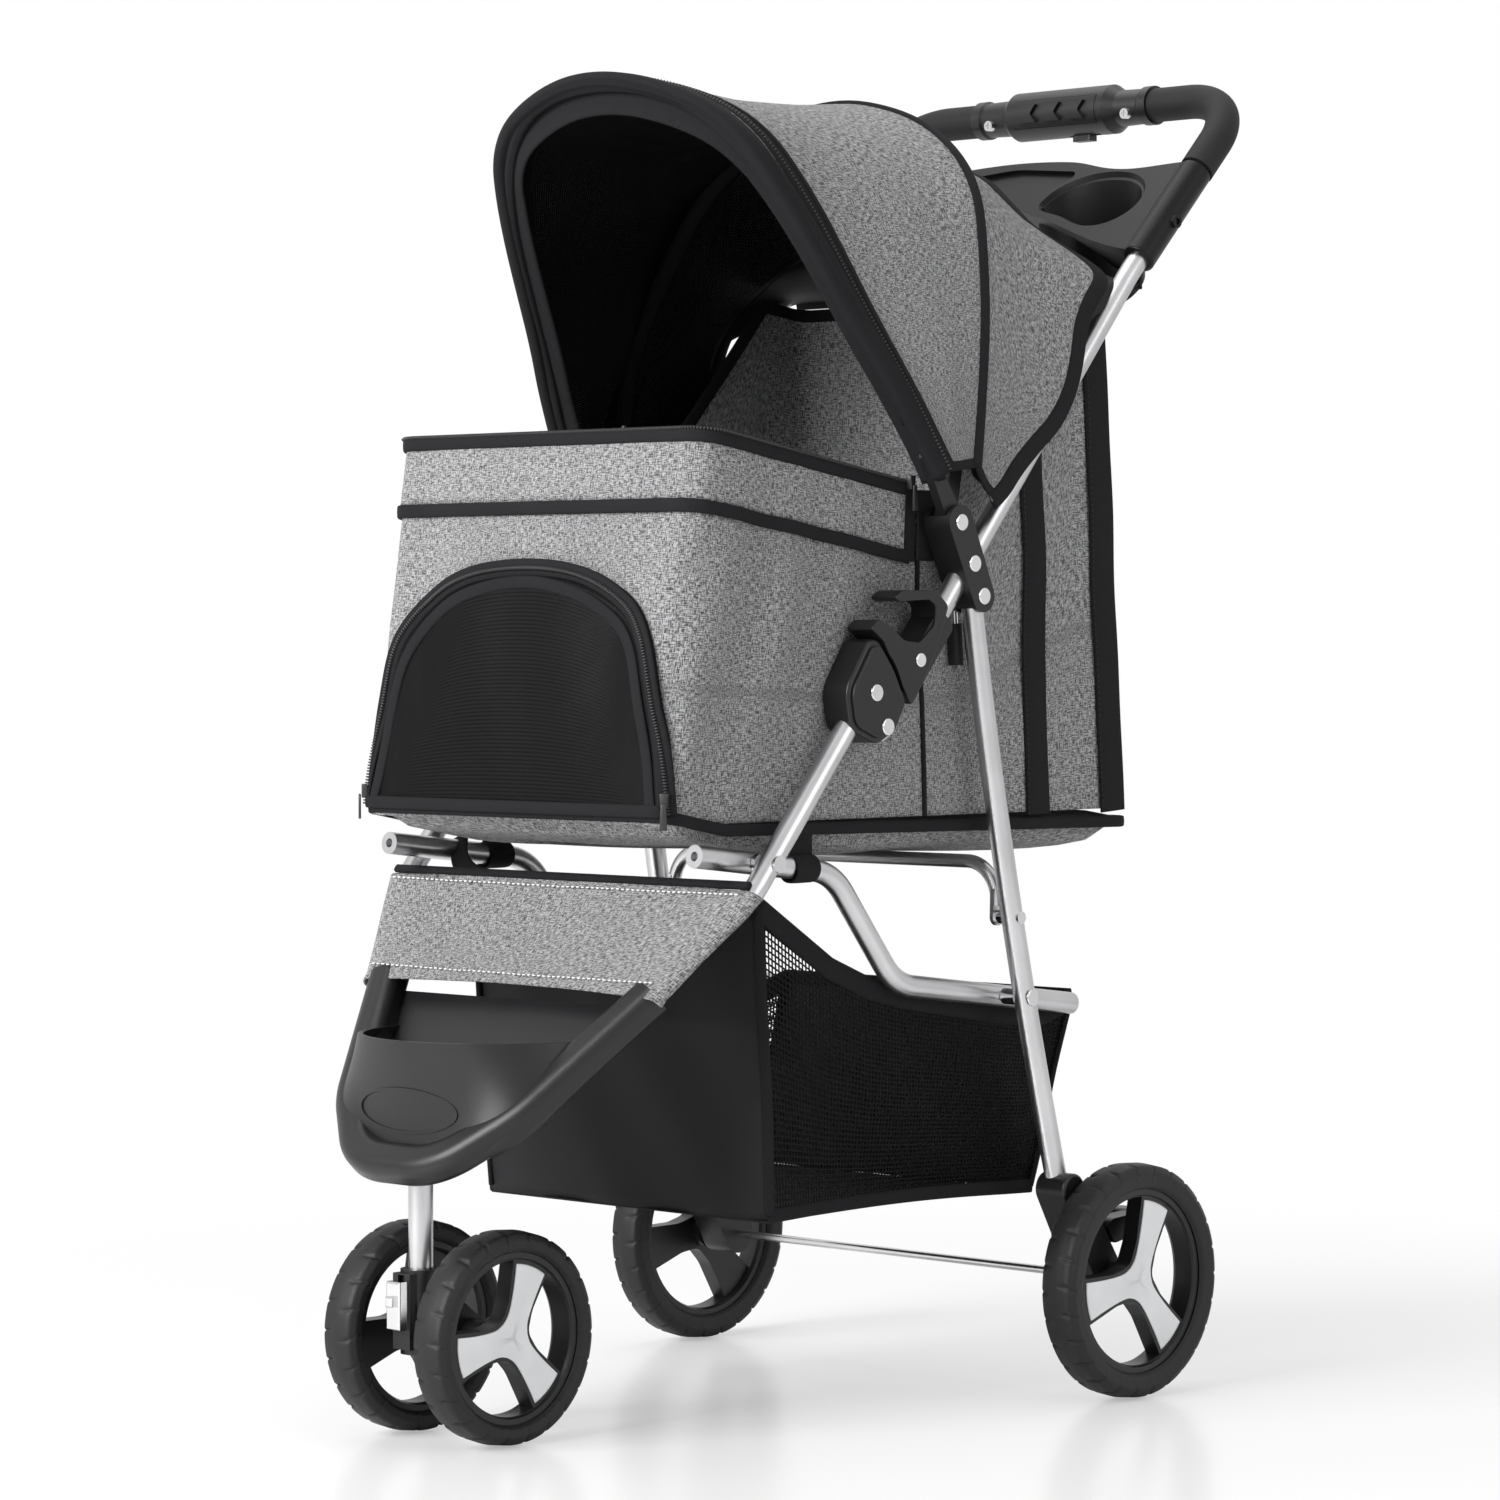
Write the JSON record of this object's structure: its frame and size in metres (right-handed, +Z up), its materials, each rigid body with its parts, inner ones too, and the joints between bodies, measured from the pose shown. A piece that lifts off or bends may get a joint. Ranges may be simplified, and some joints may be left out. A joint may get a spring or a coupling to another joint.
{
  "type": "pet stroller",
  "caption": "Folding pet stroller with a fabric cabin, arched mesh door, hooded canopy, basket, parent tray, sprung grip trigger and twin-wheel swivel nose.",
  "frame": {"origin": "on the ground, under the middle of the frame", "axes": "+Z up, -Y towards the nose, +X to the left side"},
  "size_m": [0.468, 0.7395, 0.977],
  "materials": {
    "frame_tube": "satin silver coated steel tube",
    "rivet_steel": "bright plated steel",
    "black_plastic": "black satin moulded plastic",
    "grip_foam": "matte black foam",
    "tyre_foam": "black foam tyre with tread lumps",
    "rim_plastic": "black rim with pale satin spokes",
    "grey_cloth": "heathered grey woven cloth with black binding",
    "black_cloth": "black nylon and open mesh"
  },
  "bodies": {
    "rear_frame": {"rear_leg_left": "frame_tube", "rear_leg_right": "frame_tube", "rail_pins": "rivet_steel", "rear_brace": "frame_tube", "brace_rivets": "rivet_steel", "rear_axle": "rivet_steel", "axle_bracket_left": "black_plastic", "axle_bracket_right": "black_plastic"},
    "handle_frame": {"handle_bar": "frame_tube", "grip_foam_left": "grip_foam", "grip_foam_right": "grip_foam", "grip_housing": "black_plastic", "grip_screws": "rivet_steel", "tray": "black_plastic", "leg_bracket_left": "black_plastic", "leg_bracket_right": "black_plastic", "bracket_pins": "rivet_steel", "pivot_lug_left": "rivet_steel", "pivot_lug_right": "rivet_steel", "canopy": "grey_cloth"},
    "front_frame": {"front_leg_left": "frame_tube", "front_leg_right": "frame_tube", "fold_housing_left": "black_plastic", "fold_housing_right": "black_plastic", "fold_pins": "rivet_steel", "nose": "black_plastic", "caster_stem": "frame_tube", "front_panel": "grey_cloth", "rail_studs": "rivet_steel"},
    "seat_frame": {"seat_rail_left": "frame_tube", "seat_rail_right": "frame_tube", "rail_plugs": "black_plastic", "seat_straps": "black_cloth", "cabin": "grey_cloth", "basket": "black_cloth"},
    "door": {"mesh_door": "black_cloth"},
    "trigger_bar": {"trigger": "black_plastic"},
    "thumb_slide": {"safety_button": "black_plastic"},
    "latch_left": {"fold_latch_left": "black_plastic", "latch_rivet_left": "rivet_steel"},
    "latch_right": {"fold_latch_right": "black_plastic", "latch_rivet_right": "rivet_steel"},
    "front_bow": {"bow_front": "frame_tube", "bow_front_feet": "black_plastic"},
    "middle_bow": {"bow_middle": "frame_tube", "bow_middle_feet": "black_plastic"},
    "swivel": {"swivel_block": "black_plastic", "front_axle": "rivet_steel"},
    "lock_slide": {"swivel_lock": "black_plastic"},
    "front_wheel_left": {"front_rim_left": "rim_plastic", "front_tyre_left": "tyre_foam"},
    "front_wheel_right": {"front_rim_right": "rim_plastic", "front_tyre_right": "tyre_foam"},
    "rear_wheel_left": {"rear_rim_left": "rim_plastic", "rear_tyre_left": "tyre_foam"},
    "rear_wheel_right": {"rear_rim_right": "rim_plastic", "rear_tyre_right": "tyre_foam"},
    "brake_left": {"brake_pedal_left": "black_plastic"},
    "brake_right": {"brake_pedal_right": "black_plastic"}
  },
  "joints": [
    {"name": "fold_hinge", "type": "hinge", "parent": "handle_frame", "child": "front_frame", "pos_m": [0, -0.061, 0.4887], "axis": [1, 0, 0], "range_deg": [0, 124.5], "deforming": ["cabin", "basket", "canopy", "mesh_door"]},
    {"name": "leg_hinge", "type": "hinge", "parent": "rear_frame", "child": "handle_frame", "pos_m": [0, 0.04, 0.58], "axis": [-1, 0, 0], "range_deg": [0, 76]},
    {"name": "seat_hinge", "type": "hinge", "parent": "rear_frame", "child": "seat_frame", "pos_m": [0, 0.0915, 0.29216], "axis": [-1, 0, 0], "range_deg": [0, 31.4]},
    {"name": "canopy_hinge", "type": "hinge", "parent": "handle_frame", "child": "front_bow", "pos_m": [0, 0.016, 0.632], "axis": [-1, 0, 0], "range_deg": [0, 60]},
    {"name": "middle_bow_hinge", "type": "hinge", "parent": "handle_frame", "child": "middle_bow", "pos_m": [0, 0.016, 0.632], "axis": [-1, 0, 0], "range_deg": [0, 24]},
    {"name": "door_hinge", "type": "hinge", "parent": "seat_frame", "child": "door", "pos_m": [0, -0.2463, 0.4365], "axis": [1, 0, 0], "range_deg": [0, 80]},
    {"name": "trigger_squeeze", "type": "slide", "parent": "handle_frame", "child": "trigger_bar", "axis": [0, 1, 0], "range_m": [0, 0.005], "stiffness_N_per_m": 600, "springref_m": -0.002},
    {"name": "latch_slide_left", "type": "slide", "parent": "handle_frame", "child": "latch_left", "axis": [0, 0.6428, 0.766], "range_m": [0, 0.012]},
    {"name": "latch_slide_right", "type": "slide", "parent": "handle_frame", "child": "latch_right", "axis": [0, 0.6428, 0.766], "range_m": [0, 0.012]},
    {"name": "safety_slide", "type": "slide", "parent": "handle_frame", "child": "thumb_slide", "axis": [1, 0, 0], "range_m": [0, 0.006], "stiffness_N_per_m": 300, "springref_m": -0.002},
    {"name": "caster_swivel", "type": "hinge", "parent": "front_frame", "child": "swivel", "pos_m": [0, -0.33, 0.1], "axis": [0, 0, 1], "continuous": true},
    {"name": "swivel_lock_slide", "type": "slide", "parent": "swivel", "child": "lock_slide", "axis": [0, 0, 1], "range_m": [0, 0.008]},
    {"name": "front_spin_left", "type": "hinge", "parent": "swivel", "child": "front_wheel_left", "pos_m": [0.0454, -0.295, 0.0735], "axis": [1, 0, 0], "continuous": true},
    {"name": "front_spin_right", "type": "hinge", "parent": "swivel", "child": "front_wheel_right", "pos_m": [-0.0454, -0.295, 0.0735], "axis": [1, 0, 0], "continuous": true},
    {"name": "rear_spin_left", "type": "hinge", "parent": "rear_frame", "child": "rear_wheel_left", "pos_m": [0.219, 0.164, 0.085], "axis": [1, 0, 0], "continuous": true},
    {"name": "rear_spin_right", "type": "hinge", "parent": "rear_frame", "child": "rear_wheel_right", "pos_m": [-0.219, 0.164, 0.085], "axis": [1, 0, 0], "continuous": true},
    {"name": "brake_left_hinge", "type": "hinge", "parent": "rear_frame", "child": "brake_left", "pos_m": [0.188, 0.17, 0.119], "axis": [-1, 0, 0], "range_deg": [0, 12]},
    {"name": "brake_right_hinge", "type": "hinge", "parent": "rear_frame", "child": "brake_right", "pos_m": [-0.188, 0.17, 0.119], "axis": [-1, 0, 0], "range_deg": [0, 12]}
  ],
  "couplings": [
    {"joint": "leg_hinge", "follows": "fold_hinge", "ratio": 0.61044},
    {"joint": "seat_hinge", "follows": "fold_hinge", "ratio": 0.2522},
    {"joint": "middle_bow_hinge", "follows": "canopy_hinge", "ratio": 0.4},
    {"joint": "latch_slide_left", "follows": "trigger_squeeze", "ratio": 2.4},
    {"joint": "latch_slide_right", "follows": "trigger_squeeze", "ratio": 2.4}
  ]
}
